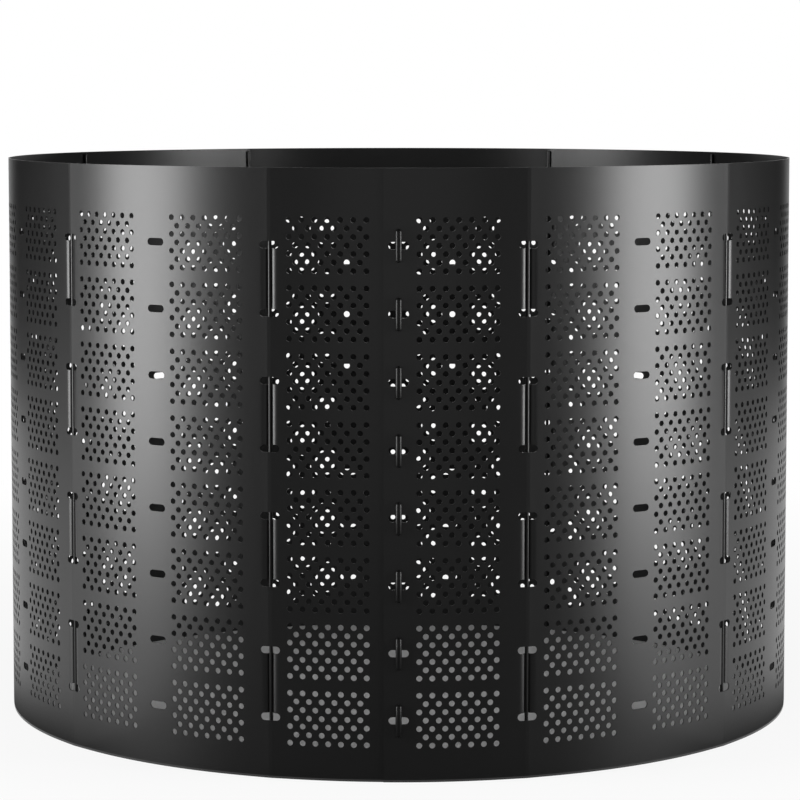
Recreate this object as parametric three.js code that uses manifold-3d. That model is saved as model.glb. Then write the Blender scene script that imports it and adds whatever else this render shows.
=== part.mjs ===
// Round compost bin, open at the top and at the bottom.
// One slotted and vented plastic sheet is rolled into a ring and lapped at the front. Twist keys
// through the lapped slots hold it closed, and rods laced through other slots keep it upright.
// Lengths are millimetres and +Z is up. The ring stands on z = 0 about the Z axis, and its
// closure faces -Y.

import * as THREE from 'three';
import { mergeVertices } from 'three/addons/utils/BufferGeometryUtils.js';
import Module from 'manifold-3d';

// Sheet
const sheetHeight = 808;
const sheetThickness = 1.5;
const columnPitch = 172;
const columnCount = 21;
const endLand = 6.5;

// Slots through the sheet
const slotLength = 27;
const slotHeight = 10;
const rowCount = 8;
const firstRowDrop = 101;
const lastRowRise = 82;

// Vents between the columns of slots, level with the slots. Each is one opening with the open
// area of the real sheet's patch of 46 round holes of 8 mm, at the middle of that patch.
const ventWidth = 58;
const ventHeight = 40;
const ventCentre = 78.5;

// Rods laced through every second column of slots
const rodDiameter = 5;
const rodChamfer = 0.6;
const rodSetBack = 4;
const rodSides = 10;
const rodColumnStep = 2;

// How the sheet gives way to a rod: a low ridge over it and a narrow groove behind it
const ridgeRise = 1.2;
const ridgeSpread = 25;
const grooveFloor = 3.6;
const grooveFlank = 2.9;
const grooveShoulder = 4.35;
const tiltReach = 1.5;

// Twist keys
const keyBarLength = 44;
const keyBarWidth = 8.4;
const keyBarDepth = 6;
const crossbarDepth = 5;
const keyPassClearance = 1;
const neckClearance = 1.5;
const keySides = 10;
const keyEndSteps = 3;
const neckOverrun = 2;
const cutOverrun = 1;

// Gap kept wherever two pieces touch
const seatGap = 0.3;

// Sizes worked out from those above
const circumference = columnPitch * columnCount;
const ringRadius = circumference / (2 * Math.PI);
const lapStep = sheetThickness + seatGap;
const slotHalf = slotLength / 2;
const slotEndRadius = slotHeight / 2;
const slotChamferRest = slotEndRadius * Math.tan(Math.PI / 8);
const slotFlatHalf = slotHalf - slotEndRadius + slotChamferRest;
const columnHalf = slotHalf + endLand;
const rodRadius = rodDiameter / 2;
const grooveFloorHalf = grooveFloor / 2;
const rodDrop = sheetThickness / 2 + seatGap + rodRadius - ridgeRise;
const grooveDepth = ridgeRise + rodDrop + rodRadius + seatGap + sheetThickness / 2;
const rowPitch = (sheetHeight - firstRowDrop - lastRowRise) / (rowCount - 1);
const rowHeights = Array.from(
  { length: rowCount },
  (_, row) => sheetHeight - firstRowDrop - row * rowPitch,
);
const rodColumns = rodColumnList();

// Columns that carry a rod: every second one, counted from the closure on both sides
function rodColumnList() {
  const columns = [];
  for (let column = 1; column < columnCount / 2; column += rodColumnStep) {
    columns.push(column);
    columns.push(columnCount - column);
  }
  return columns.sort((a, b) => a - b);
}

// Radius of the sheet's middle surface where nothing bends it. It shrinks a little round the
// turn, so that the end of the sheet passes under its start.
function plainRadius(along) {
  return ringRadius + lapStep * (0.5 - along / circumference);
}

// Distance along the sheet from the nearest rod
function distanceToRod(along) {
  return Math.min(...rodColumns.map((column) => Math.abs(along - column * columnPitch)));
}

// Radius of the sheet's middle surface, which rises to pass over a rod. A strip between two
// slots passes behind the rod instead: it sinks to a level floor under it.
function middleRadius(along, onStrip) {
  const distance = distanceToRod(along);
  const pastRod = Math.max(0, distance - rodRadius);
  const ridge = ridgeRise * Math.exp(-pastRod / ridgeSpread);
  const upFlank = Math.max(0, distance - grooveFloorHalf) / grooveFlank;
  const groove = onStrip ? grooveDepth * Math.exp(-(upFlank ** 2)) : 0;
  return plainRadius(along) + ridge - groove;
}

// A point of the sheet in plan. along is its place on the sheet, side is 1 outside and -1
// inside, and the sheet's thickness is square to the slope of its middle surface.
function planPoint(along, side, onStrip) {
  const before = middleRadius(along - tiltReach, onStrip);
  const after = middleRadius(along + tiltReach, onStrip);
  const tilt = Math.atan2(after - before, 2 * tiltReach);
  const offset = (side * sheetThickness) / 2;
  const radial = middleRadius(along, onStrip) + offset * Math.cos(tilt);
  const angle = (2 * Math.PI * along) / circumference;
  const tangential = -offset * Math.sin(tilt);
  return {
    x: radial * Math.sin(angle) + tangential * Math.cos(angle),
    y: -radial * Math.cos(angle) + tangential * Math.sin(angle),
  };
}

// The sheet is made between upright lines. A line has its place along the sheet and half the
// height of the openings there, or null where there are none.

// Lines of a column of slots, whose ends are chamfered. Where a rod is laced through, the
// strips between the slots bend at the inner lines, and those on a flank serve nothing else.
function slotLines(column) {
  const bends = rodColumns.includes(column);
  const half = [];
  if (bends) {
    const flank = grooveFloorHalf + grooveShoulder;
    half.push({ along: grooveFloorHalf, half: slotEndRadius, bends });
    half.push({ along: flank, half: slotEndRadius, bends, onFlank: true });
  }
  half.push({ along: slotFlatHalf, half: slotEndRadius, bends });
  half.push({ along: slotHalf, half: slotChamferRest });
  return mirrored(half, column * columnPitch);
}

// Lines on both sides of a place, from left to right
function mirrored(half, centre) {
  const before = half.map((line) => ({ ...line, along: centre - line.along })).reverse();
  return [...before, ...half.map((line) => ({ ...line, along: centre + line.along }))];
}

// The two lines of a column of vents
function ventLines(column) {
  const half = [{ along: ventWidth / 2, half: ventHeight / 2 }];
  return mirrored(half, column * columnPitch + ventCentre);
}

// Corners that a line has from foot to rim, where a stretch without openings meets it
function cornerHeights(line) {
  const corners = rowHeights.flatMap((height) => [height + line.half, height - line.half]);
  return [0, ...(line.half === null ? [] : corners.reverse()), sheetHeight];
}

// The sheet is a closed mesh: an outer and an inner skin between the lines, the walls of the
// slots and vents, the rim, the foot and the two upright ends.
function buildSheet() {
  const vertices = [];
  const triangles = [];
  const known = new Map();

  function vertex(line, side, height, grooved) {
    const onStrip = Boolean(grooved && line.bends);
    const key = [line.along, side, height, onStrip].join(' ');
    if (!known.has(key)) {
      const plan = planPoint(line.along, side, onStrip);
      known.set(key, vertices.length / 3);
      vertices.push(plan.x, plan.y, height);
    }
    return known.get(key);
  }

  function face(...corners) {
    for (let next = 2; next < corners.length; next += 1) {
      triangles.push(corners[0], corners[next - 1], corners[next]);
    }
  }

  // Outer and inner skin between two lines. left and right list the heights of the corners
  // from the foot up, and the skin climbs to whichever corner comes next.
  function skins(a, b, left, right, grooved) {
    for (const side of [1, -1]) {
      const onLeft = left.map((height) => vertex(a, side, height, grooved));
      const onRight = right.map((height) => vertex(b, side, height, grooved));
      let i = 0;
      let j = 0;
      while (i < left.length - 1 || j < right.length - 1) {
        const rightDone = j === right.length - 1;
        const climbsLeft = rightDone || (i < left.length - 1 && left[i + 1] <= right[j + 1]);
        const corners = [onLeft[i], onRight[j], climbsLeft ? onLeft[i + 1] : onRight[j + 1]];
        face(...(side > 0 ? corners : corners.reverse()));
        if (climbsLeft) i += 1;
        else j += 1;
      }
    }
  }

  // Wall through the sheet's thickness between two lines, facing up or down
  function wall(a, b, heightA, heightB, grooved, facesUp) {
    const corners = [
      vertex(a, 1, heightA, grooved),
      vertex(b, 1, heightB, grooved),
      vertex(b, -1, heightB, grooved),
      vertex(a, -1, heightA, grooved),
    ];
    face(...(facesUp ? corners : corners.reverse()));
  }

  // Upright wall through the sheet's thickness on a line
  function uprightWall(line, low, high, facesBack) {
    const corners = [
      vertex(line, 1, low, false),
      vertex(line, 1, high, false),
      vertex(line, -1, high, false),
      vertex(line, -1, low, false),
    ];
    face(...(facesBack ? corners : corners.reverse()));
  }

  // Strips above, between and below the openings, the lowest last
  function stripRange(line, strip) {
    const top = strip === 0 ? sheetHeight : rowHeights[strip - 1] - line.half;
    const bottom = strip === rowCount ? 0 : rowHeights[strip] + line.half;
    return [bottom, top];
  }

  function stripPanel(a, b, strip, grooved) {
    const [bottomA, topA] = stripRange(a, strip);
    const [bottomB, topB] = stripRange(b, strip);
    skins(a, b, [bottomA, topA], [bottomB, topB], grooved);
    wall(a, b, topA, topB, grooved, true);
    wall(a, b, bottomA, bottomB, grooved, false);
  }

  // A column of openings, one above the other. Where a rod is laced, odd strips pass behind it.
  function openColumn(lines) {
    const laced = lines.some((line) => line.bends);
    for (let strip = 0; strip <= rowCount; strip += 1) {
      const grooved = laced && strip % 2 === 1;
      const used = lines.filter((line) => grooved || !line.onFlank);
      used.slice(1).forEach((line, index) => stripPanel(used[index], line, strip, grooved));
    }
    const first = lines[0];
    const last = lines[lines.length - 1];
    for (const height of rowHeights) {
      uprightWall(first, height - first.half, height + first.half, false);
      uprightWall(last, height - last.half, height + last.half, true);
    }
  }

  // Stretch without openings
  function plainStretch(a, b) {
    skins(a, b, cornerHeights(a), cornerHeights(b), false);
    wall(a, b, sheetHeight, sheetHeight, false, true);
    wall(a, b, 0, 0, false, false);
  }

  // The sheet starts and ends with a land beyond a column of slots. Where it starts, a line
  // as far to the right keeps it clear of the end that is lapped under it.
  const start = { along: -columnHalf, half: null };
  const overLap = { along: columnHalf, half: null };
  const end = { along: circumference + columnHalf, half: null };
  uprightWall(start, 0, sheetHeight, true);
  let reached = start;
  for (let column = 0; column <= columnCount; column += 1) {
    const openings = [slotLines(column)];
    if (column === 0) openings.push([overLap]);
    if (column < columnCount) openings.push(ventLines(column));
    for (const lines of openings) {
      plainStretch(reached, lines[0]);
      if (lines.length > 1) openColumn(lines);
      reached = lines[lines.length - 1];
    }
  }
  plainStretch(reached, end);
  uprightWall(end, 0, sheetHeight, false);

  const geometry = new THREE.BufferGeometry();
  geometry.setAttribute('position', new THREE.Float32BufferAttribute(vertices, 3));
  geometry.setIndex(triangles);
  geometry.computeVertexNormals();
  return geometry;
}

// A rod is turned about its own axis, with its ends chamfered
function buildRod() {
  const length = sheetHeight - 2 * rodSetBack;
  const profile = [
    new THREE.Vector2(0, 0),
    new THREE.Vector2(rodRadius - rodChamfer, 0),
    new THREE.Vector2(rodRadius, rodChamfer),
    new THREE.Vector2(rodRadius, length - rodChamfer),
    new THREE.Vector2(rodRadius - rodChamfer, length),
    new THREE.Vector2(0, length),
  ];
  return new THREE.LatheGeometry(profile, rodSides).rotateX(Math.PI / 2);
}

const wasm = await Module();
wasm.setup();

// Closed three.js geometry to a solid, and back
function solid(geometry) {
  const bare = geometry.clone();
  bare.deleteAttribute('normal');
  bare.deleteAttribute('uv');
  const merged = mergeVertices(bare);
  return new wasm.Manifold(new wasm.Mesh({
    numProp: 3,
    vertProperties: new Float32Array(merged.attributes.position.array),
    triVerts: new Uint32Array(merged.index.array),
  }));
}

function geometryOf(body) {
  const mesh = body.getMesh();
  const geometry = new THREE.BufferGeometry();
  const positions = new THREE.BufferAttribute(new Float32Array(mesh.vertProperties), 3);
  geometry.setAttribute('position', positions);
  geometry.setIndex(new THREE.BufferAttribute(new Uint32Array(mesh.triVerts), 1));
  geometry.computeVertexNormals();
  return geometry;
}

// Upright bar with round ends and a round front. Its flat back lies on y = 0 and it stands out
// towards -Y by its depth.
function halfRoundBar(length, width, depth) {
  const radius = width / 2;
  const round = new THREE.CapsuleGeometry(radius, length - width, keyEndSteps, keySides)
    .rotateX(Math.PI / 2)
    .translate(0, radius - depth, 0);
  const cut = length + cutOverrun;
  const behind = new THREE.BoxGeometry(cut, cut, cut).translate(0, cut / 2, 0);
  return solid(round).subtract(solid(behind));
}

// A key in its own frame: the axis that it turns about is Y, and y = 0 is the back face of the
// grip bar. The crossbar is as long and as tall as the slot lets through.
function buildKey() {
  const grip = 2 * sheetThickness + 3 * seatGap;
  const bar = halfRoundBar(keyBarLength, keyBarWidth, keyBarDepth);
  const crossbarLength = slotLength - 2 * keyPassClearance;
  const crossbarWidth = slotHeight - 2 * keyPassClearance;
  const crossbar = halfRoundBar(crossbarLength, crossbarWidth, crossbarDepth)
    .rotate([0, 0, 180])
    .translate([0, grip, 0]);
  const neckRadius = slotHeight / 2 - neckClearance;
  const neckLength = grip + 2 * neckOverrun;
  const neck = new THREE.CylinderGeometry(neckRadius, neckRadius, neckLength, keySides)
    .translate(0, grip / 2, 0);
  return geometryOf(bar.add(solid(neck)).add(crossbar));
}

// Finishes
const sheetPlastic = { color: 0x1d1d1d, roughness: 0.42, metalness: 0 };
const rodPlastic = { color: 0x191919, roughness: 0.3, metalness: 0 };
const keyPlastic = { color: 0x1b1b1b, roughness: 0.28, metalness: 0 };

function part(name, geometry, finish) {
  const mesh = new THREE.Mesh(geometry, new THREE.MeshStandardMaterial(finish));
  mesh.name = name;
  return mesh;
}

const bin = new THREE.Group();
bin.add(part('perforated_sheet', buildSheet(), sheetPlastic));

rodColumns.forEach((column, index) => {
  const along = column * columnPitch;
  const angle = (2 * Math.PI * along) / circumference;
  const radius = plainRadius(along) - rodDrop;
  const name = `support_rod_${String(index + 1).padStart(2, '0')}`;
  const rod = part(name, buildRod(), rodPlastic);
  rod.position.set(radius * Math.sin(angle), -radius * Math.cos(angle), rodSetBack);
  bin.add(rod);
});

const lapFace = plainRadius(0) + sheetThickness / 2;
rowHeights.forEach((height, row) => {
  const key = part(`twist_key_${row + 1}`, buildKey(), keyPlastic);
  key.position.set(0, -lapFace - seatGap, height);
  bin.add(key);
});

export default bin;
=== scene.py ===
"""Round compost bin: one perforated plastic sheet rolled into a ring, lapped at the front and
held by twist keys, with support rods laced through its slots. Lengths are metres."""

import math

import bmesh
import bpy
import numpy as np
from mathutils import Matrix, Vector


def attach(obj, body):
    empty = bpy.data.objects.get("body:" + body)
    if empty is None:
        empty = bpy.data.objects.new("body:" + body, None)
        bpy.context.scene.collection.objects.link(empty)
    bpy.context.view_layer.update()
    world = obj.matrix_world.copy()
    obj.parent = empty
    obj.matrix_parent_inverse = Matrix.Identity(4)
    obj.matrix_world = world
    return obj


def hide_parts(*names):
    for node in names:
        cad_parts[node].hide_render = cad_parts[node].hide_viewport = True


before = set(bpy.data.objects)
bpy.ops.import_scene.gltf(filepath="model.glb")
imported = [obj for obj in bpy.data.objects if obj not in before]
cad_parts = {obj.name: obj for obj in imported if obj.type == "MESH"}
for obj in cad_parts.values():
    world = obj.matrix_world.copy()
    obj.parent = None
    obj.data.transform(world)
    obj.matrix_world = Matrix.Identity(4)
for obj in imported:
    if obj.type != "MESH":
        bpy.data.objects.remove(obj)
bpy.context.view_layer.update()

MM = 0.001

# Sheet, the same sizes as in the part's source
SHEET_HEIGHT = 808 * MM
SHEET_THICKNESS = 1.5 * MM
COLUMN_PITCH = 172 * MM
COLUMN_COUNT = 21
COLUMNS_PER_SECTION = 3
SHEET_MARGIN = 20 * MM
SLOT_HALF = 13.5 * MM
SLOT_FLAT_HALF = 8.5 * MM
SLOT_END_RADIUS = 5 * MM
SLOT_END_TURNS = (22.5, 45, 67.5, 90)
ROW_COUNT = 8
FIRST_ROW_DROP = 101 * MM
LAST_ROW_RISE = 82 * MM
SEAT_GAP = 0.3 * MM

# Rods, and how the sheet gives way to them: a low ridge over a rod, and behind it a groove
# that is narrower here than in the part's source
ROD_RADIUS = 2.5 * MM
ROD_SET_BACK = 4 * MM
RIDGE_RISE = 1.2 * MM
RIDGE_SPREAD = 18 * MM
GROOVE_FLOOR_HALF = 1.8 * MM
GROOVE_FLANK = 1.6 * MM
GROOVE_DISH = 5 * MM
GROOVE_DISH_SHARE = 0.35
TILT_REACH = 0.6 * MM
ROD_SIDES = 24
ROD_END_EASE = 0.7 * MM

# Patch of ventilation holes: rows of 7 and 6 holes by turns, staggered by half a pitch.
# Six pitches take 103 mm
HOLE_RADIUS = 4 * MM
HOLE_SIDES = 12
HOLE_PITCH = 103 / 6 * MM
HOLE_ROW_PITCH = 11.1 * MM
HOLES_ACROSS = 7
HOLE_ROWS = 7
FIRST_HOLE = 27 * MM

# Twist keys. The two bars are given by length, width and depth
KEY_BAR = (44 * MM, 8.4 * MM, 6 * MM)
KEY_CROSSBAR = (25 * MM, 8 * MM, 5 * MM)
KEY_NECK_RADIUS = 3.5 * MM
KEY_NECK_OVERRUN = 2 * MM
KEY_SIDES = 32
NECK_SIDES = 24

# Edges flatter than this, in degrees, are shaded smooth
SHEET_SMOOTH = 32
ROD_SMOOTH = 35
KEY_SMOOTH = 40

# Cloth tent round the set. The gap in it behind the bin, and the cloth on the floor in front
# of the bin, are given by their widths in degrees seen from the bin
TENT_RADIUS = 4.2
TENT_HEIGHT = 4.2
TENT_SIDES = 72
TENT_OPENING = 60
FLOOR_CLOTH = 100

# Radii of the hole in the cloth and glowing ring on the floor and of the ring's outer edge, how
# bright the ring glows at the one and the other, and how far cloth and ring lie off the floor.
# The ring's glow is painted shadow: dim at the bin's foot, as the bin's shadow on the floor
FLOOR_HOLE = 0.578
SHADOW_RING_EDGE = 0.8
SHADOW_RING_AT_FOOT, SHADOW_RING_AT_EDGE = 0.12, 0.95
FLOOR_LIFT = 3 * MM

# Floor. Its share of plain white grows between two distances from the ring's axis, and the
# rest of it keeps the bin's shadow
FLOOR_RADIUS = 60
FADE_FROM, FADE_TO = 0.7, 2.5
LEAST_WHITE = 0.86

# Sizes worked out from those above
CIRCUMFERENCE = COLUMN_PITCH * COLUMN_COUNT
RING_RADIUS = CIRCUMFERENCE / (2 * math.pi)
LAP_STEP = SHEET_THICKNESS + SEAT_GAP
ROD_DROP = SHEET_THICKNESS / 2 + SEAT_GAP + ROD_RADIUS - RIDGE_RISE
GROOVE_DEPTH = RIDGE_RISE + ROD_DROP + ROD_RADIUS + SEAT_GAP + SHEET_THICKNESS / 2
ROW_PITCH = (SHEET_HEIGHT - FIRST_ROW_DROP - LAST_ROW_RISE) / (ROW_COUNT - 1)
ROW_HEIGHTS = [SHEET_HEIGHT - FIRST_ROW_DROP - row * ROW_PITCH for row in range(ROW_COUNT)]
ROD_COLUMNS = [c for c in range(COLUMN_COUNT + 1) if min(c, COLUMN_COUNT - c) % 2 == 1]
HALF_PITCH = HOLE_PITCH / 2
HALF_ROW = HOLE_ROW_PITCH / 2
PATCH_LEFT = FIRST_HOLE - HALF_PITCH
PATCH_RIGHT = PATCH_LEFT + HOLES_ACROSS * HOLE_PITCH
PATCH_HALF = HOLE_ROWS * HOLE_ROW_PITCH / 2
BAND = ROW_PITCH - 2 * PATCH_HALF
NEAR = 0.01 * MM


# ---------------------------------------------------------------- modelling helpers


def only(*objects):
    """Select these objects and nothing else."""
    bpy.ops.object.select_all(action="DESELECT")
    for obj in objects:
        obj.select_set(True)
    bpy.context.view_layer.objects.active = objects[0]


def start_edit(obj, mode="VERT"):
    only(obj)
    bpy.ops.object.mode_set(mode="EDIT")
    bpy.ops.mesh.select_mode(type=mode)
    bpy.ops.mesh.select_all(action="SELECT")


def end_edit():
    bpy.ops.object.mode_set(mode="OBJECT")


def pick(obj, test, kind="verts"):
    """In edit mode, select the vertices, edges or faces whose middle passes the test."""
    bpy.ops.mesh.select_all(action="DESELECT")
    mesh = bmesh.from_edit_mesh(obj.data)
    found = 0
    for item in getattr(mesh, kind):
        corners = [item] if kind == "verts" else item.verts
        if test(sum((corner.co for corner in corners), Vector()) / len(corners)):
            item.select_set(True)
            found += 1
    mesh.select_flush_mode()
    bmesh.update_edit_mesh(obj.data)
    return found


def move_vertices(obj, place):
    """In object mode, give each vertex the place that place() works out from its own."""
    for vertex in obj.data.vertices:
        vertex.co = place(vertex.co)


def shift(obj, step):
    """Move a mesh inside its object, so that the object stays at the origin."""
    start_edit(obj)
    bpy.ops.transform.translate(value=step)
    end_edit()


def twin(obj, name="piece"):
    made = obj.copy()
    made.data = obj.data.copy()
    made.name = name
    bpy.context.scene.collection.objects.link(made)
    return made


def join(objects, name):
    only(*objects)
    bpy.ops.object.join()
    made = bpy.context.object
    made.name = name
    start_edit(made)
    bpy.ops.mesh.remove_doubles(threshold=NEAR)
    end_edit()
    return made


def repeat(obj, count, step):
    """A row of copies that share the vertices where they meet."""
    only(obj)
    bpy.ops.object.modifier_add(type="ARRAY")
    modifier = obj.modifiers[-1]
    modifier.count = count
    modifier.use_relative_offset = False
    modifier.use_constant_offset = True
    modifier.constant_offset_displace = step
    modifier.use_merge_vertices = True
    modifier.merge_threshold = NEAR
    bpy.ops.object.modifier_apply(modifier=modifier.name)
    return obj


def flat_grid(columns, rows):
    """A flat grid facing the front, whose lines stand at the given places."""
    bpy.ops.mesh.primitive_grid_add(
        x_subdivisions=len(columns) - 1,
        y_subdivisions=len(rows) - 1,
        size=2,
        rotation=(math.pi / 2, 0, 0),
    )
    grid = bpy.context.object
    bpy.ops.object.transform_apply(location=False, rotation=True, scale=False)

    def place(co):
        column = round((co.x + 1) / 2 * (len(columns) - 1))
        row = round((co.z + 1) / 2 * (len(rows) - 1))
        return Vector((columns[column], 0, rows[row]))

    move_vertices(grid, place)
    return grid


# ---------------------------------------------------------------- the sheet, laid out flat


def hole_cell():
    """One ventilation hole in its share of the sheet. The outline of that share has a vertex
    for each side of the hole, where those of the neighbouring shares have theirs."""
    bpy.ops.mesh.primitive_circle_add(
        vertices=HOLE_SIDES, radius=HOLE_RADIUS, rotation=(math.pi / 2, 0, 0)
    )
    cell = bpy.context.object
    bpy.ops.object.transform_apply(location=False, rotation=True, scale=False)
    start_edit(cell)
    bpy.ops.mesh.extrude_edges_move()
    end_edit()
    top = [(across * HALF_PITCH, HALF_ROW) for across in (1, 0.5, 0, -0.5, -1)]
    upper = [(HALF_PITCH, 0), *top]
    outline = upper + [(-x, -z) for x, z in upper]
    for vertex in cell.data.vertices:
        if vertex.select:
            turn = math.atan2(vertex.co.z, vertex.co.x) / (2 * math.pi)
            x, z = outline[round(turn * HOLE_SIDES) % HOLE_SIDES]
            vertex.co = Vector((x, 0, z))
    # Like the grids round it, the cell faces the front
    start_edit(cell)
    bpy.ops.mesh.flip_normals()
    end_edit()
    return cell


def hole_patch():
    """Seven staggered rows of holes, with plain half shares at the ends of the short rows."""
    long_row = hole_cell()
    short_row = twin(long_row)
    shift(long_row, (PATCH_LEFT + HALF_PITCH, 0, 0))
    shift(short_row, (PATCH_LEFT + HOLE_PITCH, 0, -HOLE_ROW_PITCH))
    repeat(long_row, HOLES_ACROSS, (HOLE_PITCH, 0, 0))
    repeat(short_row, HOLES_ACROSS - 1, (HOLE_PITCH, 0, 0))
    last_row = twin(long_row)
    rows = [-HOLE_ROW_PITCH - HALF_ROW, -HOLE_ROW_PITCH, -HOLE_ROW_PITCH + HALF_ROW]
    ends = []
    for left in (PATCH_LEFT, PATCH_RIGHT - HALF_PITCH):
        ends.append(flat_grid([left, left + HALF_PITCH / 2, left + HALF_PITCH], rows))
    patch = join([long_row, short_row, *ends], "patch")
    repeat(patch, HOLE_ROWS // 2, (0, 0, -2 * HOLE_ROW_PITCH))
    shift(last_row, (0, 0, -(HOLE_ROWS - 1) * HOLE_ROW_PITCH))
    patch = join([patch, last_row], "patch")
    shift(patch, (0, 0, PATCH_HALF - HALF_ROW))
    return patch


def patch_stretch():
    """All the patches of one pitch of the sheet, one above the other, from rim to foot."""
    lines = [PATCH_LEFT + i * HOLE_PITCH / 4 for i in range(4 * HOLES_ACROSS + 1)]
    patch = hole_patch()
    band = flat_grid(lines, [-PATCH_HALF - BAND, -PATCH_HALF])
    block = join([patch, band], "patches")
    shift(block, (0, 0, ROW_HEIGHTS[0]))
    repeat(block, ROW_COUNT, (0, 0, -ROW_PITCH))
    rim = flat_grid(lines, [ROW_HEIGHTS[0] + PATCH_HALF, SHEET_HEIGHT])
    foot = flat_grid(lines, [0, ROW_HEIGHTS[-1] - PATCH_HALF - BAND])
    return join([block, rim, foot], "patch_stretch")


def slot_lines(laced):
    """Upright lines of the stretch round a column of slots, close together where the sheet
    dips behind a rod. The left side has the line where the sheet starts, and one more
    between it and the patch."""
    if laced:
        flat = [0, 1.0, 1.8, 2.3, 2.8, 3.3, 3.8, 4.4, 5.1, 6.0, 7.1]
    else:
        flat = [0, 4.25]
    half = [place * MM for place in flat] + [SLOT_FLAT_HALF]
    for turn in SLOT_END_TURNS:
        half.append(SLOT_FLAT_HALF + SLOT_END_RADIUS * math.sin(math.radians(turn)))
    left = [SHEET_MARGIN, 26.5 * MM, COLUMN_PITCH - PATCH_RIGHT]
    return sorted({-place for place in half + left} | set(half + [PATCH_LEFT]))


def slot_stretch(laced):
    """The stretch round a column of slots, from rim to foot."""
    columns = slot_lines(laced)
    rows = [-PATCH_HALF - BAND]
    rows += [-PATCH_HALF + i * HALF_ROW for i in range(2 * HOLE_ROWS + 1)]
    block = flat_grid(columns, rows)
    last_line = SLOT_FLAT_HALF + SLOT_END_RADIUS * math.sin(math.radians(SLOT_END_TURNS[-2]))

    def in_opening(co):
        return abs(co.z) < HALF_ROW and abs(co.x) < last_line

    def past_last_line(co, side):
        return abs(co.z) < NEAR and last_line - NEAR < side * co.x < SLOT_HALF + NEAR

    start_edit(block, "FACE")
    pick(block, in_opening, "faces")
    bpy.ops.mesh.delete(type="FACE")
    # What is left at each end of the slot's middle line closes up into the slot's tip
    for side in (-1, 1):
        bpy.ops.mesh.select_mode(type="VERT")
        pick(block, lambda co: past_last_line(co, side))
        mesh = bmesh.from_edit_mesh(block.data)
        for vertex in mesh.verts:
            if vertex.select:
                vertex.co.x = side * SLOT_HALF
        bmesh.update_edit_mesh(block.data)
        bpy.ops.mesh.remove_doubles(threshold=NEAR)
    bpy.ops.mesh.select_all(action="DESELECT")
    end_edit()

    def slot_edge(co):
        if abs(abs(co.z) - HALF_ROW) > NEAR or abs(co.x) > last_line + NEAR:
            return co
        along = max(0.0, abs(co.x) - SLOT_FLAT_HALF)
        edge = math.sqrt(max(0.0, SLOT_END_RADIUS**2 - along**2))
        return Vector((co.x, 0, math.copysign(edge, co.z)))

    move_vertices(block, slot_edge)
    shift(block, (0, 0, ROW_HEIGHTS[0]))
    repeat(block, ROW_COUNT, (0, 0, -ROW_PITCH))
    rim = flat_grid(columns, [ROW_HEIGHTS[0] + PATCH_HALF, SHEET_HEIGHT])
    foot = flat_grid(columns, [0, ROW_HEIGHTS[-1] - PATCH_HALF - BAND])
    return join([block, rim, foot], "slot_stretch")


# ---------------------------------------------------------------- rolling the sheet up


def plain_radius(along):
    return RING_RADIUS + LAP_STEP * (0.5 - along / CIRCUMFERENCE)


def middle_radius(along, on_strip):
    """Radius of the sheet's middle surface, over the rods and behind them."""
    rods = np.array(ROD_COLUMNS) * COLUMN_PITCH
    distance = np.abs(along[:, None] - rods[None, :]).min(axis=1)
    ridge = RIDGE_RISE * np.exp(-np.maximum(0, distance - ROD_RADIUS) / RIDGE_SPREAD)
    # The groove hugs the rod, in a shallower and wider dish
    up_flank = np.maximum(0, distance - GROOVE_FLOOR_HALF)
    hug = (1 - GROOVE_DISH_SHARE) * np.exp(-((up_flank / GROOVE_FLANK) ** 2))
    dish = GROOVE_DISH_SHARE * np.exp(-((up_flank / GROOVE_DISH) ** 2))
    groove = np.where(on_strip, GROOVE_DEPTH * (hug + dish), 0)
    return plain_radius(along) + ridge - groove


def roll_up(obj):
    """Wrap a flat piece of the sheet round the ring. Its flat place stays in its UV map."""
    mesh = obj.data
    flat = np.empty(len(mesh.vertices) * 3)
    mesh.vertices.foreach_get("co", flat)
    flat = flat.reshape(-1, 3)
    along, offset, height = flat[:, 0], -flat[:, 1], flat[:, 2]

    uv_map = mesh.uv_layers.get("laid_flat") or mesh.uv_layers.new(name="laid_flat")
    corners = np.empty(len(mesh.loops), dtype=np.int32)
    mesh.loops.foreach_get("vertex_index", corners)
    uv_map.uv.foreach_set("vector", flat[corners][:, [0, 2]].astype(np.float32).ravel())

    rows_above = (np.array(ROW_HEIGHTS)[None, :] > height[:, None]).sum(axis=1)
    on_strip = rows_above % 2 == 1
    before = middle_radius(along - TILT_REACH, on_strip)
    after = middle_radius(along + TILT_REACH, on_strip)
    tilt = np.arctan2(after - before, 2 * TILT_REACH)
    angle = 2 * math.pi * along / CIRCUMFERENCE

    def turned(sideways, outwards, upwards, angle):
        """A direction at the front of the ring, turned round to its place."""
        x = outwards * np.sin(angle) + sideways * np.cos(angle)
        y = -outwards * np.cos(angle) + sideways * np.sin(angle)
        return np.stack([x, y, upwards], axis=1)

    radial = middle_radius(along, on_strip) + offset * np.cos(tilt)
    rolled = turned(-offset * np.sin(tilt), radial, height, angle)

    # The flat piece's normals are exact, so they are turned with it. Normals worked out afresh
    # from the small faces round the holes would show as dents
    facing = np.empty(len(mesh.loops) * 3)
    mesh.corner_normals.foreach_get("vector", facing)
    facing = facing.reshape(-1, 3)
    lean, around = tilt[corners], angle[corners]
    sideways = facing[:, 0] * np.cos(lean) + facing[:, 1] * np.sin(lean)
    outwards = facing[:, 0] * np.sin(lean) - facing[:, 1] * np.cos(lean)
    facing = turned(sideways, outwards, facing[:, 2], around)

    mesh.vertices.foreach_set("co", rolled.ravel())
    mesh.update()
    mesh.normals_split_custom_set(facing.tolist())


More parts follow.
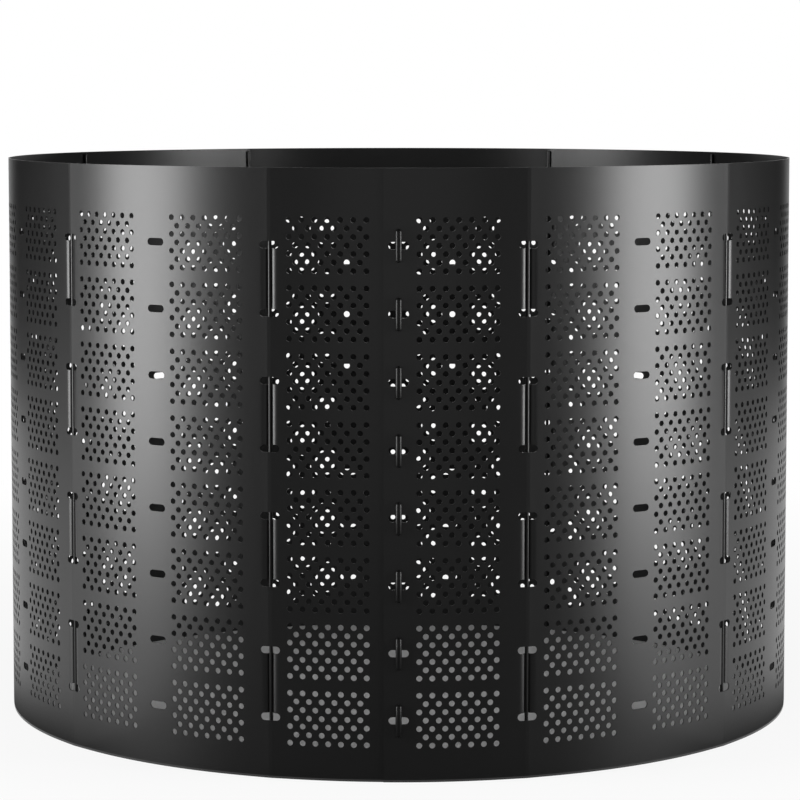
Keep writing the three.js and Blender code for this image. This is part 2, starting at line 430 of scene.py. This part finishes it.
def sheet_sections():
    """The rolled sheet, in seven abutting sections so that no mesh gets too large."""
    patches = patch_stretch()
    slots = {laced: slot_stretch(laced) for laced in (False, True)}
    sections = []
    for first in range(0, COLUMN_COUNT, COLUMNS_PER_SECTION):
        flat = []
        for column in range(first, first + COLUMNS_PER_SECTION):
            for source in (slots[column in ROD_COLUMNS], patches):
                copy = twin(source)
                move_vertices(copy, lambda co: co + Vector((column * COLUMN_PITCH, 0, 0)))
                flat.append(copy)
        if first + COLUMNS_PER_SECTION == COLUMN_COUNT:
            copy = twin(slots[False])
            move_vertices(copy, lambda co: co + Vector((CIRCUMFERENCE, 0, 0)))
            flat.append(copy)
        section = join(flat, f"perforated_sheet_{first // COLUMNS_PER_SECTION + 1}")
        trim_ends(section)
        only(section)
        bpy.ops.object.modifier_add(type="SOLIDIFY")
        solidify = section.modifiers[-1]
        solidify.thickness = SHEET_THICKNESS
        solidify.offset = 0
        bpy.ops.object.modifier_apply(modifier=solidify.name)
        bpy.ops.object.shade_smooth_by_angle(angle=math.radians(SHEET_SMOOTH))
        roll_up(section)
        sections.append(section)
    for source in (patches, *slots.values()):
        bpy.data.objects.remove(source)
    return sections


def trim_ends(section):
    """The sheet starts a margin before its first column and ends a margin after its last."""
    start_edit(section, "FACE")
    if pick(section, lambda co: co.x < -SHEET_MARGIN, "faces"):
        bpy.ops.mesh.delete(type="FACE")
    end_edit()
    last_line = CIRCUMFERENCE + PATCH_LEFT
    for vertex in section.data.vertices:
        if vertex.co.x > last_line - NEAR:
            vertex.co.x = CIRCUMFERENCE + SHEET_MARGIN


# ---------------------------------------------------------------- rods and keys


def support_rod():
    """A straight extruded rod with eased ends."""
    length = SHEET_HEIGHT - 2 * ROD_SET_BACK
    bpy.ops.mesh.primitive_cylinder_add(
        vertices=ROD_SIDES, radius=ROD_RADIUS, depth=length, location=(0, 0, SHEET_HEIGHT / 2)
    )
    rod = bpy.context.object
    bpy.ops.object.transform_apply(location=True, rotation=False, scale=False)
    start_edit(rod, "EDGE")
    pick(rod, lambda co: min(co.z, SHEET_HEIGHT - co.z) < ROD_SET_BACK + NEAR, "edges")
    bpy.ops.mesh.bevel(offset=ROD_END_EASE, segments=3, affect="EDGES")
    end_edit()
    bpy.ops.object.shade_smooth_by_angle(angle=math.radians(ROD_SMOOTH))
    return rod


def half_round_bar(length, width, depth, flat_at, towards):
    """An upright bar with round ends and a round front. towards is -1 for one that stands out
    to the front of its flat side, and 1 for one that stands out behind it."""
    radius = width / 2
    bpy.ops.mesh.primitive_uv_sphere_add(
        segments=KEY_SIDES, ring_count=KEY_SIDES // 2, radius=radius
    )
    bar = bpy.context.object
    start_edit(bar)
    for side in (-1, 1):
        pick(bar, lambda co: side * co.z > NEAR)
        bpy.ops.transform.translate(value=(0, 0, side * (length - width) / 2))
    bpy.ops.mesh.select_all(action="SELECT")
    bpy.ops.transform.translate(value=(0, flat_at + towards * (depth - radius), 0))
    bpy.ops.mesh.bisect(
        plane_co=(0, flat_at, 0),
        plane_no=(0, -towards, 0),
        use_fill=True,
        clear_outer=True,
    )
    end_edit()
    return bar


def twist_key():
    """Grip bar outside, crossbar inside and the neck between them, in one moulding. The neck's
    axis is Y, and the grip bar's flat side lies on y = 0."""
    grip = 2 * SHEET_THICKNESS + 3 * SEAT_GAP
    bar = half_round_bar(*KEY_BAR, 0, -1)
    crossbar = half_round_bar(*KEY_CROSSBAR, grip, 1)
    bpy.ops.mesh.primitive_cylinder_add(
        vertices=NECK_SIDES,
        radius=KEY_NECK_RADIUS,
        depth=grip + 2 * KEY_NECK_OVERRUN,
        location=(0, grip / 2, 0),
        rotation=(math.pi / 2, 0, 0),
    )
    neck = bpy.context.object
    bpy.ops.object.transform_apply(location=True, rotation=True, scale=False)
    only(bar, crossbar, neck)
    bpy.ops.object.join()
    key = bpy.context.object
    bpy.ops.object.shade_smooth_by_angle(angle=math.radians(KEY_SMOOTH))
    return key


# ---------------------------------------------------------------- finishes


def linear(code):
    """sRGB hex to the linear colour that a socket takes."""
    parts = [int(code[i : i + 2], 16) / 255 for i in (1, 3, 5)]
    return [c / 12.92 if c <= 0.04045 else ((c + 0.055) / 1.055) ** 2.4 for c in parts] + [1]


def node(tree, kind, inputs=None, **settings):
    """Add a node. An input is either a value or another node's output to link."""
    made = tree.nodes.new(kind)
    for name, value in settings.items():
        setattr(made, name, value)
    for name, value in (inputs or {}).items():
        if isinstance(value, bpy.types.NodeSocket):
            tree.links.new(value, made.inputs[name])
        else:
            made.inputs[name].default_value = value
    return made


def bare_material(name):
    """A material without nodes yet, and its tree."""
    material = bpy.data.materials.new(name)
    material.use_nodes = True
    material.node_tree.nodes.clear()
    return material, material.node_tree


def finish(name, colour, roughness, specular):
    """A material with one shader to build on. Gives the material, its tree and the shader."""
    material, tree = bare_material(name)
    shader = node(
        tree,
        "ShaderNodeBsdfPrincipled",
        {
            "Base Color": linear(colour),
            "Roughness": roughness,
            "IOR": 1.5,
            "Specular IOR Level": specular,
        },
    )
    node(tree, "ShaderNodeOutputMaterial", {"Surface": shader.outputs[0]})
    return material, tree, shader


def vary_roughness(tree, shader, pattern, least, most):
    """Roughness that follows a noise pattern, whose values lie mostly between 0.3 and 0.7."""
    rough = node(
        tree,
        "ShaderNodeMapRange",
        {
            "Value": pattern.outputs[0],
            "From Min": 0.3,
            "From Max": 0.7,
            "To Min": least,
            "To Max": most,
        },
    )
    tree.links.new(rough.outputs[0], shader.inputs["Roughness"])


def extruded_polyethylene():
    """Black polyethylene sheet, extruded and then punched. The die leaves faint streaks along
    the sheet, about 3 mm apart, in a satin skin whose own grain is much finer."""
    material, tree, shader = finish("extruded_black_polyethylene", "#121212", 0.34, 0.5)
    place = node(tree, "ShaderNodeUVMap", uv_map="laid_flat")
    streak_place = node(
        tree, "ShaderNodeMapping", {"Vector": place.outputs[0], "Scale": (4, 1 / (3 * MM), 1)}
    )
    streaks = node(
        tree, "ShaderNodeTexNoise", {"Vector": streak_place.outputs[0], "Scale": 1.0, "Detail": 2.0}
    )
    object_place = node(tree, "ShaderNodeTexCoord")
    # The grain is about 0.3 mm. It is drawn at 1.5 mm, the finest that the render can show
    grain = node(
        tree,
        "ShaderNodeTexNoise",
        {"Vector": object_place.outputs["Object"], "Scale": 1 / (1.5 * MM), "Detail": 1.0},
    )
    vary_roughness(tree, shader, grain, 0.31, 0.37)
    bump = node(
        tree,
        "ShaderNodeBump",
        {"Strength": 0.25, "Distance": 0.03 * MM, "Height": streaks.outputs[0]},
    )
    tree.links.new(bump.outputs[0], shader.inputs["Normal"])
    return material


def extruded_rod_plastic():
    """Black plastic rod, drawn through a smooth die: satin like the sheet, with faint lines
    along it about 0.5 mm apart."""
    material, tree, shader = finish("extruded_black_rod_plastic", "#101010", 0.37, 0.5)
    place = node(tree, "ShaderNodeTexCoord")
    stretched = node(
        tree,
        "ShaderNodeMapping",
        {"Vector": place.outputs["Object"], "Scale": (1 / (0.5 * MM), 1 / (0.5 * MM), 8)},
    )
    lines = node(tree, "ShaderNodeTexNoise", {"Vector": stretched.outputs[0], "Scale": 1.0})
    vary_roughness(tree, shader, lines, 0.32, 0.42)
    return material


def moulded_polypropylene():
    """Black polypropylene from a polished mould: semi-gloss, with a slight orange peel about
    2 mm across."""
    material, tree, shader = finish("moulded_black_polypropylene", "#111111", 0.33, 0.24)
    place = node(tree, "ShaderNodeTexCoord")
    peel = node(
        tree,
        "ShaderNodeTexNoise",
        {"Vector": place.outputs["Object"], "Scale": 1 / (2 * MM), "Detail": 1.0},
    )
    vary_roughness(tree, shader, peel, 0.29, 0.37)
    bump = node(
        tree, "ShaderNodeBump", {"Strength": 0.15, "Distance": 0.05 * MM, "Height": peel.outputs[0]}
    )
    tree.links.new(bump.outputs[0], shader.inputs["Normal"])
    return material


def seen_directly_or_mirrored(tree):
    """1 where a camera ray, or a ray mirrored or passed on to it, meets the surface."""
    rays = node(tree, "ShaderNodeLightPath")
    first = node(
        tree,
        "ShaderNodeMath",
        {0: rays.outputs["Is Camera Ray"], 1: rays.outputs["Is Glossy Ray"]},
        operation="MAXIMUM",
    )
    both = node(
        tree,
        "ShaderNodeMath",
        {0: first.outputs[0], 1: rays.outputs["Is Transmission Ray"]},
        operation="MAXIMUM",
    )
    return both.outputs[0]


def studio_floor():
    """Matt white floor. Inside the ring it is plain paper, round the bin it keeps the bin's
    shadow, and further out it fades to plain white."""
    bpy.ops.mesh.primitive_circle_add(vertices=64, radius=FLOOR_RADIUS, fill_type="NGON")
    floor = bpy.context.object
    floor.name = "studio_floor"
    material, tree = bare_material("matt_white_paper")
    paper = node(tree, "ShaderNodeBsdfDiffuse", {"Color": linear("#e7e7e7")})
    white = node(tree, "ShaderNodeEmission", {"Color": linear("#ffffff"), "Strength": 1.0})
    place = node(tree, "ShaderNodeTexCoord")
    away = node(tree, "ShaderNodeVectorMath", {0: place.outputs["Object"]}, operation="LENGTH")
    share = node(
        tree,
        "ShaderNodeMapRange",
        {
            "Value": away.outputs["Value"],
            "From Min": FADE_FROM,
            "From Max": FADE_TO,
            "To Min": LEAST_WHITE,
            "To Max": 1.0,
        },
    )
    outside = node(
        tree, "ShaderNodeMath", {0: away.outputs["Value"], 1: RING_RADIUS}, operation="GREATER_THAN"
    )
    shown_outside = node(
        tree, "ShaderNodeMath", {0: share.outputs[0], 1: outside.outputs[0]}, operation="MULTIPLY"
    )
    shown = node(
        tree,
        "ShaderNodeMath",
        {0: shown_outside.outputs[0], 1: seen_directly_or_mirrored(tree)},
        operation="MULTIPLY",
    )
    mixed = node(
        tree,
        "ShaderNodeMixShader",
        {0: shown.outputs[0], 1: paper.outputs[0], 2: white.outputs[0]},
    )
    node(tree, "ShaderNodeOutputMaterial", {"Surface": mixed.outputs[0]})
    floor.data.materials.append(material)


def studio_world():
    """Even grey fill light, in front of a white background."""
    world = bpy.data.worlds.new("studio")
    bpy.context.scene.world = world
    world.use_nodes = True
    tree = world.node_tree
    tree.nodes.clear()
    fill = node(tree, "ShaderNodeBackground", {"Color": linear("#ffffff"), "Strength": 0.4})
    white = node(tree, "ShaderNodeBackground", {"Color": linear("#ffffff"), "Strength": 1.0})
    mixed = node(
        tree,
        "ShaderNodeMixShader",
        {0: seen_directly_or_mirrored(tree), 1: fill.outputs[0], 2: white.outputs[0]},
    )
    node(tree, "ShaderNodeOutputWorld", {"Surface": mixed.outputs[0]})


def painted_foot_shadow_ring():
    """A glowing ring with painted shadow: dim at the foot of the bin and nearly white at its edge,
    in place of the bin's shadow on the floor.
    """
    material, tree = bare_material("painted_foot_shadow")
    place = node(tree, "ShaderNodeTexCoord")
    away = node(tree, "ShaderNodeVectorMath", {0: place.outputs["Object"]}, operation="LENGTH")
    painted_shade_level = node(
        tree,
        "ShaderNodeMapRange",
        {
            "Value": away.outputs["Value"],
            "From Min": FLOOR_HOLE,
            "From Max": SHADOW_RING_EDGE,
            "To Min": SHADOW_RING_AT_FOOT,
            "To Max": SHADOW_RING_AT_EDGE,
        },
    )
    # Painted shadow: the glow is dim at the bin's foot and brightens outwards
    paper = node(tree, "ShaderNodeEmission", {"Strength": painted_shade_level.outputs[0]})
    node(tree, "ShaderNodeOutputMaterial", {"Surface": paper.outputs[0]})
    return material


def cloth_tent():
    """Black cloth round and over the set, grey cloth on the floor in front of the bin, and a
    narrow glowing ring round the rest of it, with painted shadow: dim at the bin's foot and
    nearly white at its edge. The tent is open behind the bin, where the white backdrop shows.
    It is there for the bin's gloss alone, and no camera sees it."""
    bpy.ops.mesh.primitive_cylinder_add(
        vertices=TENT_SIDES,
        radius=TENT_RADIUS,
        depth=TENT_HEIGHT,
        end_fill_type="NGON",
        location=(0, 0, TENT_HEIGHT / 2),
    )
    tent = bpy.context.object
    tent.name = "cloth_tent"
    bpy.ops.object.transform_apply(location=True, rotation=False, scale=False)
    start_edit(tent, "FACE")
    pick(tent, lambda co: co.z < NEAR, "faces")
    bpy.ops.transform.translate(value=(0, 0, FLOOR_LIFT))
    bpy.ops.mesh.inset(thickness=TENT_RADIUS - SHADOW_RING_EDGE)
    bpy.ops.mesh.inset(thickness=SHADOW_RING_EDGE - FLOOR_HOLE)
    bpy.ops.mesh.delete(type="FACE")

    def from_front(co):
        return abs(math.degrees(math.atan2(co.x, -co.y)))

    def on_floor(co):
        return co.z < FLOOR_LIFT + NEAR

    def is_open(co):
        if on_floor(co):
            return co.xy.length > SHADOW_RING_EDGE and from_front(co) > FLOOR_CLOTH / 2
        return co.z < TENT_HEIGHT - NEAR and from_front(co) > 180 - TENT_OPENING / 2

    pick(tent, is_open, "faces")
    bpy.ops.mesh.delete(type="FACE")
    end_edit()
    for name, colour in (("black_cloth", "#101010"), ("grey_cloth", "#585858")):
        cloth = finish(name, colour, roughness=1.0, specular=0.0)[0]
        tent.data.materials.append(cloth)
    # The third finish is painted shadow: a glow that is dim at the bin's foot
    tent.data.materials.append(painted_foot_shadow_ring())
    for face in tent.data.polygons:
        if on_floor(face.center):
            face.material_index = 1 if from_front(face.center) < FLOOR_CLOTH / 2 else 2
    tent.visible_camera = tent.visible_diffuse = tent.visible_transmission = False
    tent.visible_shadow = False


def softbox(name, azimuth, distance, width, height, centre, radiance):
    """A soft light that faces the bin's axis. azimuth is degrees to the right of the front, and
    centre is how high its middle stands."""
    turn = math.radians(azimuth)
    place = Vector((distance * math.sin(turn), -distance * math.cos(turn), centre))
    light = bpy.data.lights.new(name, "AREA")
    light.shape = "RECTANGLE"
    light.size, light.size_y = width, height
    light.energy = radiance * math.pi * width * height
    made = bpy.data.objects.new(name, light)
    made.location = place
    aim = Vector((0, 0, centre)) - place
    made.rotation_euler = aim.to_track_quat("-Z", "Y").to_euler()
    made.visible_camera = False
    bpy.context.scene.collection.objects.link(made)


def camera():
    """The photograph's viewpoint, 4.4 m in front of the ring's axis and 0.92 m up. It looks
    down by a few degrees, and a hair to the right, in line with the photograph's frame."""
    down, right = math.radians(4.605), math.radians(0.026)
    lens = bpy.data.cameras.new("camera")
    lens.sensor_width = 36
    lens.lens = 133.7
    lens.shift_y = -0.1
    lens.clip_end = 200
    made = bpy.data.objects.new("camera", lens)
    made.location = (0, -4.4248, 0.9205)
    made.rotation_euler = (math.pi / 2 - down, 0, -right)
    bpy.context.scene.collection.objects.link(made)
    bpy.context.scene.camera = made


# ---------------------------------------------------------------- putting it together

sheet_finish = extruded_polyethylene()
rod_finish = extruded_rod_plastic()
key_finish = moulded_polypropylene()


def dress(obj, body, node_name, material):
    obj.data.materials.clear()
    obj.data.materials.append(material)
    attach(obj, body)
    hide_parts(node_name)


for section in sheet_sections():
    dress(section, "ring", "perforated_sheet", sheet_finish)

rod_pattern = support_rod()
for number, column in enumerate(ROD_COLUMNS, start=1):
    angle = 2 * math.pi * column / COLUMN_COUNT
    reach = plain_radius(column * COLUMN_PITCH) - ROD_DROP
    rod = twin(rod_pattern, f"laced_rod_{number:02d}")
    shift(rod, (reach * math.sin(angle), -reach * math.cos(angle), 0))
    dress(rod, "ring", f"support_rod_{number:02d}", rod_finish)
bpy.data.objects.remove(rod_pattern)

key_pattern = twist_key()
lap_face = plain_radius(0) + SHEET_THICKNESS / 2
for number, height in enumerate(ROW_HEIGHTS, start=1):
    key = twin(key_pattern, f"moulded_key_{number}")
    shift(key, (0, -lap_face - SEAT_GAP, height))
    dress(key, f"key_{number}", f"twist_key_{number}", key_finish)
bpy.data.objects.remove(key_pattern)

studio_floor()
studio_world()
cloth_tent()
for name, azimuth in (("softbox_left", -69.2), ("softbox_right", 69.2)):
    softbox(name, azimuth, distance=2.7, width=1.2, height=1.7, centre=0.89, radiance=10.9)
softbox("front_fill", 0, distance=3.2, width=2.4, height=1.6, centre=0.8, radiance=0.4)
camera()
bpy.context.scene.view_settings.view_transform = "Standard"
